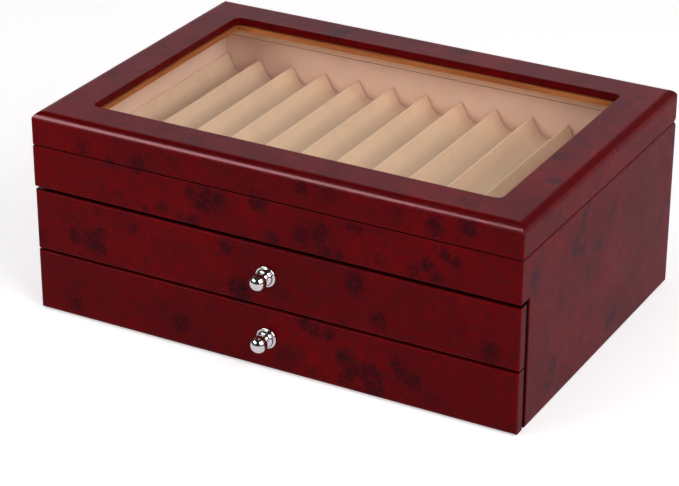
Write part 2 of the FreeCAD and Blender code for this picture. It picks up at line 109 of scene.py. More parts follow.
LINING_THICKNESS = 0.8 * MM
LINING_EASE = 0.3 * MM
LINING_REACH = 0.4 * MM  # the nap stands this far past the board, level with the case's rim and the lid's foot
FELT_EASE = 0.2 * MM
EASE_STEPS = 3
EASED_FROM = math.radians(30)  # edges sharper than this are eased
BOARD_SHARP = math.radians(60)
WELD = 0.01 * MM
RIM_BAND = 0.1 * MM  # points this close to a board's top or foot belong to it


# ------------------------------------------------------------------ shader building


class Shading:
    """One material's node tree. Numbers that are the same all over go straight onto the shader's sockets."""

    def __init__(self, name):
        self.material = bpy.data.materials.new(name)
        self.material.use_nodes = True
        self.tree = self.material.node_tree
        self.tree.nodes.clear()
        self.place = self.node("TexCoord").outputs["Object"]

    def node(self, kind, values=None, **settings):
        made = self.tree.nodes.new("ShaderNode" + kind)
        for key, setting in settings.items():
            setattr(made, key, setting)
        for key, value in (values or {}).items():
            self.feed(made.inputs[key], value)
        return made

    def feed(self, socket, value):
        if isinstance(value, bpy.types.NodeSocket):
            self.tree.links.new(value, socket)
        else:
            socket.default_value = value

    def axes(self):
        """The place as x, y and z."""
        return self.node("SeparateXYZ", {0: self.place}).outputs

    def maths(self, operation, a, b=0.0):
        return self.node("Math", {0: a, 1: b}, operation=operation).outputs[0]

    def vector(self, operation, a, b):
        return self.node("VectorMath", {0: a, 1: b}, operation=operation).outputs[0]

    def distance(self, a, b):
        return self.node("VectorMath", {0: a, 1: b}, operation="DISTANCE").outputs["Value"]

    def noise(self, place, size, detail=2.0, rough=0.5, distortion=0.0):
        """Noise whose lumps are about size metres across."""
        values = {
            "Vector": place,
            "Scale": 1 / size,
            "Detail": detail,
            "Roughness": rough,
            "Distortion": distortion,
        }
        return self.node("TexNoise", values).outputs["Fac"]

    def fade(self, value, start, end, low=0.0, high=1.0):
        """Smooth step from low to high as value goes from start to end."""
        values = {"Value": value, "From Min": start, "From Max": end, "To Min": low, "To Max": high}
        return self.node("MapRange", values, interpolation_type="SMOOTHSTEP").outputs["Result"]

    def mix(self, share, a, b):
        made = self.node("Mix", data_type="RGBA")
        self.feed(made.inputs["Factor"], share)
        for socket, value in zip([i for i in made.inputs if i.type == "RGBA"], (a, b)):
            self.feed(socket, value)
        return [o for o in made.outputs if o.type == "RGBA"][0]

    def bump(self, height, strength, distance):
        values = {"Height": height, "Strength": strength, "Distance": distance}
        return self.node("Bump", values).outputs["Normal"]

    def principled(self, **values):
        return self.node("BsdfPrincipled", {key.replace("_", " "): value for key, value in values.items()})

    def finish(self, shader):
        output = self.node("OutputMaterial")
        self.tree.links.new(shader.outputs[0], output.inputs["Surface"])
        return self.material


def colour(red, green, blue):
    return (red, green, blue, 1.0)


# ------------------------------------------------------------------ burl lacquer

RED_MAIN = colour(0.116, 0.0006, 0.0011)
RED_CLEAR = colour(0.162, 0.0003, 0.0004)
RED_BROWN = colour(0.066, 0.0028, 0.0034)
RED_FLUSH = colour(0.160, 0.0001, 0.0001)
BURL_EYE = colour(0.026, 0.0016, 0.0030)
RED_ROUND_SHADE = colour(0.070, 0.0006, 0.0010)  # painted shade: a darker red on the lid's round-over and along the seam below the lid
GAP_SHADE = colour(0.026, 0.0011, 0.0012)  # painted shade on the edge faces that look into a gap

# The veneer's figure, as noise: size of its lumps, detail, roughness and distortion.
FIGURE = {
    "broad": (60 * MM, 3, 0.55, 0.0),
    "patchy": (18 * MM, 4, 0.6, 0.8),
    "curly": (6.0 * MM, 5, 0.62, 1.8),
    "mottle": (2.6 * MM, 4, 0.6, 1.2),
    "fine": (1.0 * MM, 3, 0.6, 0.0),
    "stray": (15 * MM, 2, 0.5, 0.0),
    "blots": (3.0 * MM, 5, 0.66, 1.6),
    "specks": (1.9 * MM, 4, 0.66, 0.8),
}
# Tints over the main red: the figure that each follows, where in it the tint starts and is full, share, colour.
DRIFT_TINTS = (
    ("broad", 0.40, 0.60, 1.0, RED_CLEAR),
    ("patchy", 0.44, 0.64, 0.50, RED_BROWN),
)
MOTTLE_TINTS = (
    ("curly", 0.46, 0.58, 0.60, RED_BROWN),
    ("mottle", 0.46, 0.64, 0.32, RED_BROWN),
    ("fine", 0.46, 0.64, 0.22, RED_CLEAR),
)
FLUSH_HEART = 0.2  # share of a flush's radius where it is at its full strength

LACQUER_IOR = 1.6
LACQUER_ROUGHNESS = (0.27, 0.34)
ORANGE_PEEL = (3.5 * MM, 2, 0.5)
FACE_SHINE, EDGE_SHINE = 0.046, 0.80  # specular level on the faces, and on the lid's round front and back edges
ROUND_SHINE = 0.012  # on the round edges of the lid's two sides
EDGE_POLISH = 0.08  # how much less rough the lid's round front and back edges are
FACE_TINT, EDGE_TINT = colour(1.0, 0.74, 1.0), colour(1.0, 0.50, 0.55)

# Where the lid's round-over starts and is full: out from the middle along x and y, and up.
ROUND_X, ROUND_Y, ROUND_Z = (161.2 * MM, 162.4 * MM), (108.7 * MM, 109.9 * MM), (131.4 * MM, 133.0 * MM)
# how much painted shade darkens the lid's round-over
ROUND_SHADE_SHARE = 0.55
# The band of thicker lacquer on it at the front and back: out, then up into the band, then up out of it.
EDGE_OUT, EDGE_IN, EDGE_OFF = (107.4 * MM, 109.2 * MM), (130.0 * MM, 131.4 * MM), (133.6 * MM, 134.4 * MM)

SEAM_Z = 0.1137  # between the case and the lid, where painted shade darkens the red
SEAM_SHADE_BAND = (0.40 * MM, 0.90 * MM)
SEAM_SHADE_SHARE = 0.7
GAP_SHADE_REACH = (0.12 * MM, 0.03 * MM)  # up or down from an edge face: where the gap's painted shade starts and is full
FRONT_SHADE = (0.6 * MM, 0.2 * MM)  # the same from a drawer front's back face
GROOVE_Y = -0.1028  # front edges of the case's sides, behind the drawer fronts
GROOVE_SHADE = (0.5 * MM, 0.2 * MM)
OVERHANG_Z = 0.0854  # the part of the sides above the drawers reaches down to here

# The burl's faces, in millimetres: the front along y, the right along x and the top along z.
FRONT_FACE, RIGHT_FACE, TOP_FACE = -114, 166.5, 135.2
# Clusters of burl eyes, in millimetres: two places on the face, the cluster's radius, and how dark it is.
FRONT_EYES = (
    # lid and upper front panel: x, z
    (-129, 119, 5, 0.5), (-109, 114, 3, 0.5), (-89, 117, 5, 0.7), (-102, 128, 3, 0.4), (-65, 125, 4, 0.4),
    (24, 127, 3, 0.9), (40, 127, 5, 0.4), (89, 125, 4, 0.4), (111, 122, 4, 0.9), (132, 128, 4, 0.9),
    (134, 124, 3, 0.6), (-52, 106, 3, 0.7), (-42, 102, 5, 0.9), (-32, 106, 4, 0.8), (-40, 111, 3, 0.6),
    (-5, 111, 4, 1.0), (-72, 92, 3, 0.5), (-60, 89, 3, 0.5), (-51, 88, 3, 0.7), (5, 90, 3, 0.8),
    (-85, 88, 2, 0.6), (24, 97, 4, 0.9), (36, 98, 3, 1.0), (38, 103, 3, 1.0), (31, 103, 3, 0.6),
    (41, 89, 3, 0.9), (50, 89, 3, 0.7), (57, 110, 2, 0.7), (62, 110, 2, 0.7), (76, 93, 4, 0.5),
    (98, 91, 3, 0.7), (107, 97, 3, 0.9), (113, 91, 4, 0.6), (118, 106, 3, 0.9), (125, 103, 4, 0.6),
    # upper drawer
    (-119, 78, 3, 0.5), (-137, 58, 3, 1.0), (-124, 57, 5, 1.0), (-118, 64, 3, 1.0), (-118, 54, 3, 0.8),
    (-133, 66, 3, 0.4), (-93, 73, 3, 0.6), (-28, 76, 3, 0.8), (-102, 47, 4, 0.4), (-85, 53, 2, 0.5),
    (-120, 47, 4, 0.4), (-20, 51, 5, 0.9), (-16, 46, 3, 0.9), (60, 74, 5, 1.0), (64, 73, 3, 0.8),
    (76, 53, 4, 0.9), (148, 51, 5, 0.7), (146, 74, 3, 0.4), (129, 60, 5, 0.3),
    # lower drawer
    (-139, 10, 3, 0.8), (-74, 25, 5, 0.4), (-61, 16, 4, 1.0), (-77, 19, 3, 0.4), (27, 38, 3, 1.0),
    (33, 35, 3, 0.9), (42, 35, 3, 0.9), (16, 14, 7, 0.5), (54, 22, 5, 0.8), (57, 16, 4, 0.9),
    (70, 16, 5, 1.0), (54, 8, 3, 0.8), (73, 8, 5, 1.0), (88, 27, 3, 0.8), (92, 22, 3, 0.8),
    (99, 19, 4, 1.0), (30, 7, 4, 0.4), (62, 3, 3, 0.5), (111, 9, 5, 0.4),
)
RIGHT_EYES = (
    # right side: y, z
    (-61, 111, 3, 0.6), (-107, 117, 3, 0.5), (-27, 107, 4, 0.7), (-28, 98, 3, 0.8), (-22, 110, 3, 0.6),
    (-39, 91, 4, 1.0), (-28, 84, 3, 0.8), (-4, 78, 4, 0.9), (-19, 67, 3, 0.7), (-19, 61, 3, 0.6),
    (-97, 94, 5, 1.0), (-94, 85, 3, 0.6), (-112, 110, 3, 0.4), (-110, 87, 4, 0.4), (17, 92, 3, 0.9),
    (12, 90, 3, 0.7), (45, 83, 3, 0.5), (25, 17, 5, 0.7), (16, 15, 3, 0.6), (-66, 25, 4, 0.8),
    (-72, 14, 3, 0.7), (-54, 28, 4, 0.4), (36, 100, 4, 0.4), (58, 122, 3, 0.4), (31, 129, 3, 0.4),
    (66, 47, 4, 0.4), (-57, 63, 6, 0.4),
)
TOP_EYES = (
    # lid's top: x, y
    (145, -19, 4, 0.8), (156, -50, 4, 0.7), (145, 12, 6, 0.4), (-66, 96, 6, 0.9), (-68, 90, 4, 0.5),
    (18, 103, 4, 0.9), (-129, 96, 6, 0.4), (-16, 100, 4, 0.4), (64, 99, 6, 0.4), (-55, -106, 6, 0.5),
    (-15, -109, 5, 0.4), (-103, -101, 4, 0.4), (39, -106, 6, 0.4), (85, -107, 5, 0.4), (128, -103, 5, 0.4),
    (-159, 20, 6, 0.4), (-158, -40, 6, 0.4), (-156, -82, 4, 0.4), (157, -79, 5, 0.4), (145, 74, 5, 0.5),
)
EYE_SPACING = 17.0 * MM  # between clusters on the faces that have none listed

# Drifts of clearer red on the front: place, radius in millimetres, and strength.
FLUSHES = (
    ((-166, -114, 122), 60, 0.75), ((-150, -114, 96), 50, 0.60), ((-118, -114, 112), 34, 0.50),
    ((-160, -114, 52), 26, 0.35), ((-64, -114, 98), 26, 0.35), ((10, -114, 118), 30, 0.25),
    ((70, -114, 100), 36, 0.20), ((118, -114, 112), 36, 0.30), ((160, -114, 104), 40, 0.35),
    ((124, -114, 26), 40, 0.20),
    ((-40, -114, 62), 30, 0.20), ((-20, -114, 22), 30, 0.20),
)

EYE_REACH = 6 * MM  # an eye this close to a panel's box is drawn on the panel
EYE_SPREAD = (0.1, 2.5)  # in radii: where a cluster starts to thin out, and where it ends
EYE_RAGGED = 14 * MM  # how far curls and mottle push a cluster's edge
RAGGED_SHARE, RAGGED_MEAN = 0.6, 0.8  # share of the mottle in that, and the mean of both together
STRAY_EYES = (0.60, 0.80, 0.0, 0.45)  # fainter clusters, that follow the figure alone
BLOTS, SPECKS = (0.42, 0.56, 0.20, 0.95), (0.52, 0.60)
CORE_FADE, SPRAY_FADE = (0.26, 0.62), (0.03, 0.38, 0.0, 0.85)  # of a cluster's blots and of the specks round it

SCATTERED_RADIUS = (2.5, 5.5)  # millimetres
SCATTERED_DARKNESS = (0.35, 1.0)
LEFT_FACE_BAND = 2 * MM  # a panel this close to the left of the whole box shows its left face
BACK_FACE_Y = 113 * MM  # a long panel that reaches further back shows its back face
LONG_PANEL = 200 * MM


def near(node, listed):
    """The listed (place, radius, strength) in millimetres that come near one panel, in metres."""
    low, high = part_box(node)
    found = []
    for place, radius, strength in listed:
        place, radius = Vector(place) * MM, radius * MM
        if all(low[i] - radius < place[i] < high[i] + radius for i in range(3)):
            found.append((place, radius, strength))
    return found


def eye_clusters(node):
    """Burl clusters on one panel's outer faces, as (place, radius, darkness): the listed ones on the front,
    right and top, and scattered ones on the left and back."""
    low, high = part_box(node)
    found = [(Vector((x, FRONT_FACE, z)) * MM, r * MM, k) for x, z, r, k in FRONT_EYES]
    found += [(Vector((RIGHT_FACE, y, z)) * MM, r * MM, k) for y, z, r, k in RIGHT_EYES]
    found += [(Vector((x, y, TOP_FACE)) * MM, r * MM, k) for x, y, r, k in TOP_EYES]
    draws = random.Random(sum(map(ord, node)))
    scattered = []
    if low.x < cad_bounds[0].x + LEFT_FACE_BAND:
        scattered.append((low.x, None))
    if high.y > BACK_FACE_Y and high.x - low.x > LONG_PANEL:
        scattered.append((None, high.y))
    for fixed_x, fixed_y in scattered:
        width = high.y - low.y if fixed_y is None else high.x - low.x
        for _ in range(int(width * (high.z - low.z) / EYE_SPACING**2)):
            x = draws.uniform(low.x, high.x) if fixed_x is None else fixed_x
            y = draws.uniform(low.y, high.y) if fixed_y is None else fixed_y
            place = Vector((x, y, draws.uniform(low.z, high.z)))
            found.append((place, draws.uniform(*SCATTERED_RADIUS) * MM, draws.uniform(*SCATTERED_DARKNESS)))
    return [
        eye for eye in found if all(low[i] - EYE_REACH < eye[0][i] < high[i] + EYE_REACH for i in range(3))
    ]


def lid_edge(s):
    """1 along the round edge of the lid's front and back, where the lacquer lies thicker, and 0 elsewhere."""
    _, y, z = s.axes()
    outer = s.fade(s.maths("ABSOLUTE", y), *EDGE_OUT)
    band = s.maths("MULTIPLY", s.fade(z, *EDGE_IN), s.fade(z, *EDGE_OFF, 1.0, 0.0))
    return s.maths("MULTIPLY", outer, band)


def lid_round(s):
    """1 on the round edge all along the lid's outside, where painted shade darkens the red, and 0 on its flat
    faces.
    """
    x, y, z = s.axes()
    outer = s.maths(
        "MAXIMUM",
        s.fade(s.maths("ABSOLUTE", x), *ROUND_X),
        s.fade(s.maths("ABSOLUTE", y), *ROUND_Y),
    )
    return s.maths("MULTIPLY", outer, s.fade(z, *ROUND_Z))


def gap_shade(s, node):
    """1 on the edge faces that look into the gaps round the lid and the drawer fronts, where shade is painted,
    0 on the shown faces.
    """
    low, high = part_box(node)
    _, y, z = s.axes()
    foot = s.fade(z, *(low.z + reach for reach in GAP_SHADE_REACH))
    head = s.fade(z, *(high.z - reach for reach in GAP_SHADE_REACH))
    if node.startswith("lid"):
        return foot
    if node.startswith("drawer"):
        rear = s.fade(y, *(high.y - reach for reach in FRONT_SHADE))
        return s.maths("MAXIMUM", s.maths("MAXIMUM", foot, head), rear)
    if node.startswith("upper"):
        return s.maths("MAXIMUM", foot, head)
    if node.startswith("side"):
        ahead = s.fade(y, *(GROOVE_Y + reach for reach in GROOVE_SHADE))
        below = s.fade(z, *(OVERHANG_Z + reach for reach in GAP_SHADE_REACH))
        return s.maths("MAXIMUM", s.maths("MULTIPLY", ahead, below), head)
    return head


def burl_lacquer(node):
    """Dark red burl under satin-gloss lacquer: drifts of clearer and browner red, curls, clusters of eyes."""
    s = Shading(f"burl_lacquer_{node}")
    drift = random.Random(node.count("e") + len(node))
    shift = Vector([drift.uniform(-2, 2) for _ in range(3)])
    veneer = s.vector("ADD", s.place, shift)
    figure = {kind: s.noise(veneer, *settings) for kind, settings in FIGURE.items()}
    tone = RED_MAIN
    for kind, start, end, share, tint in DRIFT_TINTS:
        tone = s.mix(s.fade(figure[kind], start, end, 0.0, share), tone, tint)
    for place, radius, strength in near(node, FLUSHES):
        flush = s.fade(s.distance(s.place, place), FLUSH_HEART * radius, radius, strength, 0.0)
        tone = s.mix(flush, tone, RED_FLUSH)
    for kind, start, end, share, tint in MOTTLE_TINTS:
        tone = s.mix(s.fade(figure[kind], start, end, 0.0, share), tone, tint)

    ragged = s.maths("ADD", figure["curly"], s.maths("MULTIPLY", figure["mottle"], RAGGED_SHARE))
    wobble = s.maths("MULTIPLY", s.maths("SUBTRACT", ragged, RAGGED_MEAN), EYE_RAGGED)
    cluster = s.fade(figure["stray"], *STRAY_EYES)
    for place, radius, darkness in eye_clusters(node):
        away = s.maths("ADD", s.distance(s.place, place), wobble)
        eye = s.fade(away, *(spread * radius for spread in EYE_SPREAD), darkness, 0.0)
        cluster = s.maths("MAXIMUM", cluster, eye)
    core = s.maths("MULTIPLY", s.fade(cluster, *CORE_FADE), s.fade(figure["blots"], *BLOTS))
    spray = s.maths("MULTIPLY", s.fade(cluster, *SPRAY_FADE), s.fade(figure["specks"], *SPECKS))
    tone = s.mix(s.maths("MAXIMUM", core, spray), tone, BURL_EYE)

    # painted shade: the lid's round-over and a band along the seam below the lid are darkened
    if node.startswith("lid"):
        tone = s.mix(s.maths("MULTIPLY", lid_round(s), ROUND_SHADE_SHARE), tone, RED_ROUND_SHADE)
    seam = s.maths("ABSOLUTE", s.maths("SUBTRACT", s.axes()[2], SEAM_Z))
    tone = s.mix(s.fade(seam, *SEAM_SHADE_BAND, SEAM_SHADE_SHARE, 0.0), tone, RED_ROUND_SHADE)
    values = dict(
        # the edge faces that look into gaps get painted shade
        Base_Color=s.mix(gap_shade(s, node), tone, GAP_SHADE),
        Roughness=s.fade(figure["patchy"], 0.3, 0.7, *LACQUER_ROUGHNESS),
        IOR=LACQUER_IOR,
        Specular_IOR_Level=FACE_SHINE,
        Specular_Tint=FACE_TINT,
        Normal=s.bump(s.noise(s.place, *ORANGE_PEEL), 0.06, 0.3 * MM),
    )
    if node in ("lid_rail_front", "lid_rail_back"):
        edge = lid_edge(s)
        values["Roughness"] = s.maths("SUBTRACT", values["Roughness"], s.maths("MULTIPLY", edge, EDGE_POLISH))
        values["Specular_IOR_Level"] = s.fade(edge, 0.0, 1.0, FACE_SHINE, EDGE_SHINE)
        values["Specular_Tint"] = s.mix(edge, FACE_TINT, EDGE_TINT)
    elif node.startswith("lid"):
        values["Specular_IOR_Level"] = s.fade(lid_round(s), 0.0, 1.0, FACE_SHINE, ROUND_SHINE)
    return s.finish(s.principled(**values))


# ------------------------------------------------------------------ other materials

TRAY_LIGHT, TRAY_DARK = colour(0.82, 0.570, 0.385), colour(0.73, 0.495, 0.325)
LINING_LIGHT, LINING_DARK = colour(0.91, 0.640, 0.495), colour(0.84, 0.565, 0.425)
# painted light: the lid's lining is the same cloth as the case lining, made lighter against the shade under the
# lid's rails
LID_LINING_BRIGHTENED_LIGHT, LID_LINING_BRIGHTENED_DARK = colour(0.97, 0.730, 0.580), colour(0.93, 0.670, 0.510)
FELT_LIGHT, FELT_DARK = colour(0.060, 0.022, 0.022), colour(0.030, 0.012, 0.012)
TRAY_DEEP_SHADE = colour(0.60, 0.435, 0.305)  # painted shade, deep in a groove
TRAY_END_SHADOW = colour(0.20, 0.105, 0.085)  # painted shadow where the cloth turns down at a tray's back end
TRAY_DEEP_SHADE_FADE = (4 * MM, 11 * MM)  # down from the ridges
TRAY_DEEP_SHADE_SHARE = 0.55
TRAY_END_SHADOW_FADE = (0.7 * MM, 0.2 * MM)  # in from the back end
SUEDE_FIBRE, FELT_FIBRE = 0.45 * MM, 0.8 * MM
STAIN_LIGHT, STAIN_DARK = colour(0.120, 0.016, 0.013), colour(0.060, 0.008, 0.008)
BEAD_LIGHT, BEAD_DARK = colour(0.52, 0.175, 0.055), colour(0.34, 0.095, 0.028)
GRAIN_STRETCH, BRUSHED_STRETCH = 0.05, 0.04  # of the noise along the grain and along the brushing
METAL_SMEAR = 0.93  # how dark a smear is, as a share of the metal's colour
PANE_TINT, PANE_IOR = colour(0.985, 0.990, 0.985), 1.06


def grained(name, light, dark, along, roughness, pore):
    """Plain wood with its grain along one axis: drawn-out streaks and fine pores."""
    s = Shading(name)
    stretch = Vector((1.0, 1.0, 1.0))
    stretch["xyz".index(along)] = GRAIN_STRETCH
    drawn = s.vector("MULTIPLY", s.place, stretch)
    streak = s.noise(drawn, 2.6 * MM, 4, 0.65, 0.4)
    pores = s.noise(drawn, 0.5 * MM, 3, 0.6)
    tone = s.mix(s.fade(streak, 0.34, 0.68), light, dark)
    tone = s.mix(s.fade(pores, 0.52, 0.72, 0.0, pore), tone, dark)
    shader = s.principled(
        Base_Color=tone,
        Roughness=s.fade(streak, 0.3, 0.7, roughness - 0.06, roughness + 0.06),
        IOR=1.3,
        Normal=s.bump(pores, 0.15, 0.15 * MM),
    )
    return s.finish(shader)


def suede(name, light, dark, fibre=SUEDE_FIBRE, tray=None):
    """Short-nap cloth: soft patches where the nap lies differently, and fibre that catches the light.
    A tray, given as its back end and the height of its ridges, gets painted shade deep in its grooves
    and a painted shadow at that end."""
    s = Shading(name)
    nap = s.noise(s.place, 16 * MM, 3, 0.6, 0.5)
    brushed = s.noise(s.place, 3.2 * MM, 3, 0.6, 0.8)
    fibres = s.noise(s.place, fibre, 3, 0.7)
    tone = s.mix(s.fade(nap, 0.35, 0.68, 0.0, 0.55), light, dark)
    tone = s.mix(s.fade(brushed, 0.42, 0.70, 0.0, 0.25), tone, dark)
    tone = s.mix(s.fade(fibres, 0.40, 0.72, 0.0, 0.08), tone, dark)
    if tray is not None:
        back_end, ridges = tray
        _, y, z = s.axes()
        # painted shade, darker towards the bottom of each groove
        deep_shade = s.fade(z, *(ridges - down for down in TRAY_DEEP_SHADE_FADE), 0.0, TRAY_DEEP_SHADE_SHARE)
        tone = s.mix(deep_shade, tone, TRAY_DEEP_SHADE)
        # painted shadow in the gap at the tray's back end
        tone = s.mix(s.fade(y, *(back_end - inward for inward in TRAY_END_SHADOW_FADE)), tone, TRAY_END_SHADOW)
    shader = s.principled(
        Base_Color=tone,
        Roughness=s.fade(fibres, 0.3, 0.7, 0.86, 0.98),
        IOR=1.2,
        Sheen_Weight=0.12,
        Sheen_Roughness=0.6,
        Sheen_Tint=colour(1.0, 0.86, 0.76),
        Normal=s.bump(fibres, 0.15, 0.15 * MM),
    )
    return s.finish(shader)


def polished_metal(name, tint, roughness, brushing=0.0):
    """Metal with faint smears in its polish and, where brushing is set, fine lines along X."""
    s = Shading(name)
    smear = s.noise(s.place, 3.5 * MM, 3, 0.6, 0.6)
    darker = colour(*(METAL_SMEAR * c for c in tint[:3]))
    values = dict(
        Base_Color=s.mix(s.fade(smear, 0.35, 0.7), tint, darker),
        Roughness=s.fade(smear, 0.3, 0.75, roughness, roughness * 1.6),
        Metallic=1.0,
    )
    if brushing:
        lines = s.noise(s.vector("MULTIPLY", s.place, (BRUSHED_STRETCH, 1.0, 1.0)), 0.25 * MM, 2, 0.5)
        values["Normal"] = s.bump(lines, brushing, 0.05 * MM)
    return s.finish(s.principled(**values))


def pane_glass():
    """Thin clear pane that lets the lamps and the daylight through to the lining below it."""
    s = Shading("pane_glass")
    haze = s.noise(s.place, 60 * MM, 2, 0.5)
    glass = s.principled(
        Base_Color=PANE_TINT,
        Roughness=s.fade(haze, 0.3, 0.7, 0.0, 0.01),
        IOR=PANE_IOR,
        Transmission_Weight=1.0,
    )
    path = s.node("LightPath").outputs
    clear = s.node("BsdfTransparent", {"Color": PANE_TINT})
    through = s.maths("MAXIMUM", path["Is Shadow Ray"], path["Is Diffuse Ray"])
    both = s.node("MixShader", {0: through, 1: glass.outputs[0], 2: clear.outputs[0]})
    return s.finish(both)


def pale_surface(name, mirrored_lit, mirrored_plain):
    """White to the eye and through glass, with the object's shadow kept on it. Glass, metal and lacquer
    mirror mirrored_lit of the light that falls on it, and mirrored_plain of white besides."""
    s = Shading(name)
    lit = s.node("BsdfDiffuse", {"Color": colour(FLOOR_WHITE, FLOOR_WHITE, FLOOR_WHITE)})
    path = s.node("LightPath").outputs
    to_camera = s.maths("MAXIMUM", path["Is Camera Ray"], path["Is Transmission Ray"])
    mirrored = colour(*(mirrored_lit * c for c in MIRRORED_TINT))
    shown = colour(FLOOR_SHOWN_LIT, FLOOR_SHOWN_LIT, FLOOR_SHOWN_LIT)
    shown_lit = s.node("BsdfDiffuse", {"Color": s.mix(to_camera, mirrored, shown)})
    strength = s.fade(to_camera, 0.0, 1.0, mirrored_plain, FLOOR_SHOWN_PLAIN)
    tint = s.mix(to_camera, colour(*MIRRORED_TINT), colour(*FLOOR_SHOWN_TINT))
    shown_plain = s.node("Emission", {"Color": tint, "Strength": strength})
    both = s.node("AddShader", {0: shown_lit.outputs[0], 1: shown_plain.outputs[0]})
    seen = s.maths("MAXIMUM", to_camera, path["Is Glossy Ray"])
    return s.finish(s.node("MixShader", {0: seen, 1: lit.outputs[0], 2: both.outputs[0]}))


# ------------------------------------------------------------------ finishes of the CAD parts


def dress(node, material):
    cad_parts[node].data.materials.clear()
    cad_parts[node].data.materials.append(material)


BURL_NODES = ["side_panel_left", "side_panel_right", "back_panel", "upper_front_panel"]
BURL_NODES += [f"lid_rail_{side}" for side in SIDES] + [f"drawer_{level}_front" for level in LEVELS]
for node in BURL_NODES:
    dress(node, burl_lacquer(node))

stained = {axis: grained(f"stained_board_{axis}", STAIN_LIGHT, STAIN_DARK, axis, 0.55, 0.5) for axis in "xy"}
for node in ("compartment_floor", "drawer_divider", "bottom_panel"):
    dress(node, stained["x"])
for level in LEVELS:
    dress(f"drawer_{level}_back", stained["x"])
    dress(f"drawer_{level}_bottom", stained["x"])
    for hand in HANDS:
        dress(f"drawer_{level}_side_{hand}", stained["y"])

bead = {axis: grained(f"natural_wood_{axis}", BEAD_LIGHT, BEAD_DARK, axis, 0.5, 0.35) for axis in "xy"}
for side in SIDES:
    dress(f"glass_bead_{side}", bead["x" if side in ("front", "back") else "y"])

dress("lid_glass", pane_glass())

chrome = polished_metal("knob_chrome", colour(0.88, 0.87, 0.85), 0.035)
brass = polished_metal("hinge_metal", colour(0.78, 0.62, 0.34), 0.26, brushing=0.25)
zinc = polished_metal("screw_steel", colour(0.66, 0.66, 0.68), 0.24, brushing=0.2)
for level in LEVELS:
    dress(f"drawer_{level}_knob", chrome)
    dress(f"drawer_{level}_knob_screw", zinc)
for hand in HANDS:
    for node in ("hinge_leaf_case", "hinge_leaf_lid", "hinge_pin"):
        dress(f"{node}_{hand}", brass)
dress("hinge_screws_case", brass)
dress("hinge_screws_lid", brass)

# ------------------------------------------------------------------ soft pieces


def new_object(name, data):
    made = bpy.data.objects.new(name, data)
    bpy.context.scene.collection.objects.link(made)
    return made


def new_piece(name, mesh, material, body):
    piece = new_object(name, mesh)
    piece.data.materials.append(material)
    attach(piece, body)
    return piece


def finished_mesh(name, mesh, sharp):
    """The working mesh as Blender's own, shaded smooth except across edges sharper than the angle."""
    made = bpy.data.meshes.new(name)
    mesh.to_mesh(made)
    mesh.free()
    for polygon in made.polygons:
        polygon.use_smooth = True
    made.set_sharp_from_angle(angle=sharp)
    return made


def uneven(place, reach, waves, shift):
    """Smooth unevenness at a place, up to reach either way, with so many waves per metre along x, y and z."""
    return reach * noise.noise(Vector([p * w + s for p, w, s in zip(place, waves, shift)]))


def half_groove():
    """Outline from the top of a ridge down to the middle of the next groove, as (distance, drop)."""
    sine, cosine = math.sin(PEN_FLANK_ANGLE), math.cos(PEN_FLANK_ANGLE)
    reach = PEN_PITCH / 2 - PEN_RIDGE_RADIUS * sine
    rise = math.tan(PEN_FLANK_ANGLE) * reach - PEN_GROOVE_DEPTH + PEN_RIDGE_RADIUS * (1 - cosine)
    radius = rise * cosine / (1 - cosine)
    tip = [
        (PEN_RIDGE_RADIUS * math.sin(t), PEN_RIDGE_RADIUS * (1 - math.cos(t)))
        for t in (PEN_FLANK_ANGLE * i / TIP_STEPS for i in range(TIP_STEPS + 1))
    ]
    trough = [
        (PEN_PITCH / 2 - radius * math.sin(t), PEN_GROOVE_DEPTH - radius * (1 - math.cos(t)))
        for t in (PEN_FLANK_ANGLE * (1 - i / TROUGH_STEPS) for i in range(TROUGH_STEPS + 1))
    ]
    start, end = tip[-1], trough[0]
    flank = [
        (start[0] + (end[0] - start[0]) * i / FLANK_STEPS, start[1] + (end[1] - start[1]) * i / FLANK_STEPS)
        for i in range(1, FLANK_STEPS)
    ]
    return tip + flank + trough


def tray_section(x0, x1, centred):
    """Tops of one tray's cross-section from left to right, as (x, drop below the ridges)."""
    half = half_groove()
    count = int((x1 - x0 - 2 * TRAY_LAND) / PEN_PITCH)
    first = x0 + ((x1 - x0 - count * PEN_PITCH) / 2 if centred else TRAY_LAND)
    points = [(x0, 0.0)]
    for i in range(count):
        left = first + i * PEN_PITCH
        points += [(left + away, drop) for away, drop in half]
        points += [(left + PEN_PITCH - away, drop) for away, drop in reversed(half[:-1])]
    points.append((x1, 0.0))
    return points


def tray_stations(y0, y1):
    """Where a tray's cross-sections stand from front to back, as (y, dip): both ends are rolled over."""
    turns = [math.radians(90) * i / ROLL_STEPS for i in range(ROLL_STEPS + 1)]
    roll = [(TRAY_END_ROLL * (1 - math.sin(t)), TRAY_END_ROLL * (1 - math.cos(t))) for t in turns]
    inner = y1 - y0 - 2 * TRAY_END_ROLL
    stations = [(y0 + inward, dip) for inward, dip in reversed(roll)]
    stations += [(y0 + TRAY_END_ROLL + inner * i / TRAY_STATIONS, 0.0) for i in range(1, TRAY_STATIONS)]
    stations += [(y1 - inward, dip) for inward, dip in roll]
    return stations


